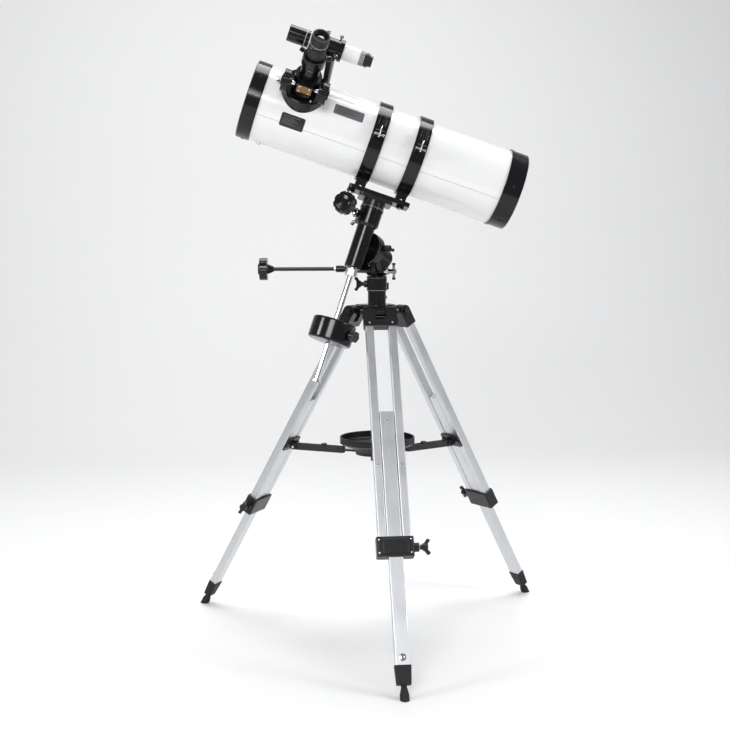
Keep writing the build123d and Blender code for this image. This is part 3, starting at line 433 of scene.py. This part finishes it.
# ---- rings and cradle ----
for name, station in RING_STATIONS.items():
    for i, low in enumerate((station - 14, station + 11.5)):
        wrap("ring_felt_%s_%d" % (name, i), "cradle", "black_plastic", "flat_black", TUBE_RADIUS + 0.15,
             (95, 265), (low, low + 2.5), 0.2, 0.3, 60)
    screws("ring_foot_bolts_" + name, "cradle", "chrome_steel",
           [frame_at(point(TUBE, -107.5, y, station), dec_dir, tube_dir) for y in (-18.6, 18.6)], 3.0, 2.6)
    turned("clamp_collar_" + name, "ring_top_" + name, "chrome_steel", "chrome_steel",
           frame_at(point(TUBE, 11.8, 99, station), dec_dir, tube_dir),
           ((4.2, -0.2), (5.6, 0.1), (5.6, 1.2), (4.2, 1.5)))
    # the clamp's swing bolt: its shank in the upper ear, its eye and cross pin in the lower one
    turned("clamp_bolt_" + name, "ring_top_" + name, "chrome_steel", "chrome_steel",
           frame_at(point(TUBE, 0.3, 108, station), dec_dir, tube_dir),
           ((2.2, 0), (2.6, 0.4), (2.6, 11.2), (2.2, 11.6)))
    piece("clamp_shim_" + name, "ring_top_" + name, "chrome_steel", "chrome_steel", *bars(
        [((0.35, 1.25), (92.5, 108.4), (station - 10.3, station + 10.3), WORLD)]), TUBE, False)
    turned("clamp_eye_" + name, "cradle", "chrome_steel", "chrome_steel",
           frame_at(point(TUBE, -14.6, 108, station), dec_dir, tube_dir),
           ((2.0, 0), (2.6, 0.5), (2.6, 14.0), (2.2, 14.3)))
    turned("clamp_pin_" + name, "cradle", "chrome_steel", "chrome_steel",
           frame_at(point(TUBE, -8, 105.5, station - 11.4), tube_dir, dec_dir),
           ((2.6, 0), (3.0, 0.4), (3.0, 22.4), (2.6, 22.8)))
SADDLE = shifted(DEC, turn=SADDLE_TURN)
screws("cradle_bolts", "cradle", "chrome_steel",
       [frame_at(point(SADDLE, x, 0, 105.8), -dec_dir, tube_dir) for x in (-58, 58)], 5.5, 2.0)

# ---- declination and polar axes ----
ticks("dec_circle", "cradle", "black_casting", DEC, 26.5, 87.4, 72, 6)
ticks("ra_circle", "declination_housing", "black_casting", POLAR, 38.0, 49.0, 72, 6, 1.3, 2.3)
piece("dec_index", "declination_housing", "black_casting", "print", *bars(
    [((25.3, 25.75), (-0.4, 0.4), (77.5, 81.5), turned_by(-90))]), DEC, False)
piece("ra_index", "polar_housing", "black_casting", "print", *bars(
    [((38.8, 39.15), (-0.4, 0.4), (38.5, 43.2), turned_by(60))]), POLAR, False)
for z in (-52, -46, -40, -34):
    turned("dec_groove_%d" % -z, "declination_housing", "black_casting", "black_gloss", shifted(DEC, z=z),
           ((19.8, 0), (20.3, 0.5), (20.3, 2.0), (19.8, 2.5)), count=72)
turned("lock_collar", "cradle", "chrome_steel", "chrome_steel", shifted(DEC, z=-73.4),
       ((12.8, 0.3), (13.3, 0.9), (13.3, 13.6), (12.8, 14.2)), count=144, lobes=48, depth=0.35)
rod = frame_at(place("ra_slow_motion_turn"), direction("ra_slow_motion_turn"), up)
for i in range(3):
    turned("rod_ring_%d" % i, "ra_slow_motion", "black_plastic", "black_gloss", shifted(rod, z=21 + 4 * i),
           ((7.4, 0), (7.9, 0.5), (7.9, 1.8), (7.4, 2.3)))
turned("rod_ferrule", "ra_slow_motion", "chrome_steel", "chrome_steel", shifted(rod, z=36.1),
       ((4.2, 0), (5.2, 0.5), (5.2, 4.6), (4.2, 5.2)))
turned("rod_knob_cap", "ra_slow_motion", "black_plastic", "black_gloss", shifted(rod, z=210.7),
       ((9.5, 0), (9.0, 0.5), (6, 0.7), (5.5, 0.1), (0.01, 0.1)))
worm = frame_at(place("dec_slow_motion_turn"), direction("dec_slow_motion_turn"), dec_dir)
for radius in (15.5, 11.5, 7.5):
    turned("knob_ring_%d" % radius, "dec_slow_motion", "black_plastic", "black_gloss", shifted(worm, z=55.2),
           ((radius, 0), (radius + 0.2, 1.9), (radius - 0.8, 2.1), (radius - 1.1, 0)), count=96)
turned("worm_nut_dec", "declination_housing", "chrome_steel", "chrome_steel", shifted(worm, z=-10.2),
       ((7.6, 0), (7.6, 2.0), (6.4, 2.7), (4.6, 2.7), (4.5, 0)), count=6)
screws("worm_box_screws", "polar_housing", "chrome_steel",
       [frame_at(point(POLAR, x, -40, 43.9), polar_dir, east) for x in (-15.5, 15.5)], 2.5, 1.4)
turned("counterweight_liner", "counterweight", "chrome_steel", "chrome_steel",
       shifted(DEC, z=WEIGHT_BASE - 0.4), ((6.6, 0), (10.5, 0.1), (10.5, 0.6), (6.6, 0.7)), count=64)

# ---- mount base and head ----
turned("azimuth_bead", "azimuth", "chrome_steel", "chrome_steel", shifted(WORLD, z=783.6),
       ((22.9, 0), (23.5, 0.3), (23.5, 1.6), (22.9, 1.9)), count=96)
ticks("azimuth_scale", "azimuth", "black_casting", WORLD, 23.0, 813.5, 48, 4, 1.6, 2.8, 0.3)
pivot = frame_at(place("latitude_bolt_turn"), east, up)
for i, sign in enumerate((-1, 1)):
    turned("tee_tip_%d" % i, "latitude_bolt", "black_plastic", "black_plastic",
           frame_at(point(pivot, sign * 18.7, 0, 46), sign * up, east),
           ((3.1, -5), (3.9, -4.4), (3.9, -0.6), (3.1, 0.2), (0.01, 0.28)))
screws("head_screws", "tripod_head", "chrome_steel", around(WORLD, 31, 752.9, THIRDS), 3.2, 1.8)

# ---- legs ----
for leg in "abc":
    along, across = direction("leg_%s_extend" % leg), direction("leg_%s_fold" % leg)
    LEG = frame_at(place("leg_%s_fold" % leg), along, across)
    body, lower = "leg_" + leg, "lower_leg_" + leg
    for name, reach, height, stations, radius, rise in (
            ("fitting", 25.5, 12.9, (31,), 2.6, 1.2),
            ("collar", 33, 13.9, (525, 553), 2.0, 1.0),
            ("bracket", 25.5, 9.4, (BRACKET_STATION,), 2.8, 1.2)):
        screws("%s_rivets_%s" % (name, leg), body, "chrome_steel",
               [facing_y(LEG, x, height, z, across) for x in (-reach, reach) for z in stations], radius, rise)
    piece("collar_ribs_" + leg, body, "black_plastic", "black_plastic", *bars(
        [((-22, 22), (17.3, 17.95), (z, z + 1.6), WORLD) for z in range(528, 549, 4)]), LEG, False)
    piece("fitting_rib_" + leg, body, "black_plastic", "black_plastic", *bars(
        [((-36, 36), (12.7, 13.4), (z, z + 1.4), WORLD) for z in (35.2, 32.6)]), LEG, False)
    turned("lock_ferrule_" + leg, "leg_%s_lock" % leg, "chrome_steel", "chrome_steel",
           shifted(frame_at(place("leg_%s_lock_turn" % leg), across, along), z=0.3),
           ((3.2, 0), (4.4, 0.2), (4.4, 1.3), (3.2, 1.5)))
    screws("inner_bolt_" + leg, lower, "chrome_steel", [facing_y(LEG, 0, 8.4, 765, across)], 7.5, 4.5)
    screws("inner_rivet_" + leg, lower, "chrome_steel", [facing_y(LEG, 0, 8.5, 262, across)], 2.4, 0.9)
    arm = frame_at(place("spreader_arm_%s_fold" % leg), across, along)
    turned("arm_pin_" + leg, body, "chrome_steel", "chrome_steel", shifted(arm, z=12.8),
           ((3.4, 0), (3.4, 1.0), (2.6, 1.6), (0.01, 1.6)))

# ---- tray ----
floor_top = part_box("accessory_tray")[0].z * 1000 + 2.9
for i, hole in enumerate(around(WORLD, TRAY_HOLE_CIRCLE, floor_top, THIRDS)):
    turned("tray_hole_rim_%d" % i, "spreader", "black_plastic", "black_plastic", hole,
           ((16.2, 0), (16.2, 1.0), (17.6, 1.0), (18.0, 0)), count=64)
piece("tray_ribs", "spreader", "black_plastic", "black_plastic", *bars(
    [((14, 80), (-0.9, 0.9), (floor_top, floor_top + 1.5), turned_by(a)) for a in (30, 150, 270)]),
      WORLD, False)


# ---- floor, light and camera ----
def studio_floor():
    """A pale sweep: a flat floor that curves up into the back wall. Metres."""
    half_width, front, back, bend, top, drop = 5.0, -3.0, 2.2, 1.2, 4.5, 0.0005
    profile = [(front, 0.0), (back, 0.0)]
    profile += [(back + bend * sin(radians(a)), bend - bend * cos(radians(a))) for a in range(10, 91, 10)]
    profile.append((back + bend, top))
    points = [(side, depth, height - drop) for depth, height in profile for side in (-half_width, half_width)]
    mesh = bpy.data.meshes.new("floor")
    mesh.from_pydata(points, [], [(i, i + 1, i + 3, i + 2) for i in range(0, 2 * len(profile) - 2, 2)])
    mesh.shade_smooth()
    mesh.materials.append(finish("studio_floor", (0.86, 0.86, 0.86), 0.6, bump=0.02, scale=40, spread=0.05))
    floor = bpy.data.objects.new("floor", mesh)
    bpy.context.scene.collection.objects.link(floor)


def lamp(name, spot, aim, size, power):
    light = bpy.data.lights.new(name, "AREA")
    light.shape, light.size, light.energy = "RECTANGLE", size, power
    light.size_y = size * 0.7
    holder = bpy.data.objects.new(name, light)
    holder.location = spot
    holder.rotation_euler = (Vector(aim) - Vector(spot)).to_track_quat("-Z", "Y").to_euler()
    bpy.context.scene.collection.objects.link(holder)


studio_floor()
lamp("key", (-0.9, -3.4, 2.3), (0, 0, 0.8), 1.5, 64)
lamp("right", (2.7, -1.5, 1.7), (0, 0, 0.8), 0.8, 30)
lamp("left", (-2.7, -0.9, 1.9), (0, 0, 0.8), 0.7, 24)
lamp("top", (0.2, 0.7, 3.6), (0, 0.2, 0.4), 2.4, 85)
world = bpy.data.worlds.new("studio")
world.use_nodes = True
background = world.node_tree.nodes["Background"]
background.inputs["Color"].default_value = (0.95, 0.97, 1.0, 1)
background.inputs["Strength"].default_value = 0.30
bpy.context.scene.world = world
bpy.context.scene.view_settings.view_transform = "Standard"

lens = bpy.data.cameras.new("camera")
lens.lens, lens.sensor_width = 61.64, 36.0
camera = bpy.data.objects.new("camera", lens)
camera.location = (-0.3206, -2.8251, 0.9166)
camera.rotation_euler = [radians(a) for a in (83.919, 0.211, -5.943)]
bpy.context.scene.collection.objects.link(camera)
bpy.context.scene.camera = camera
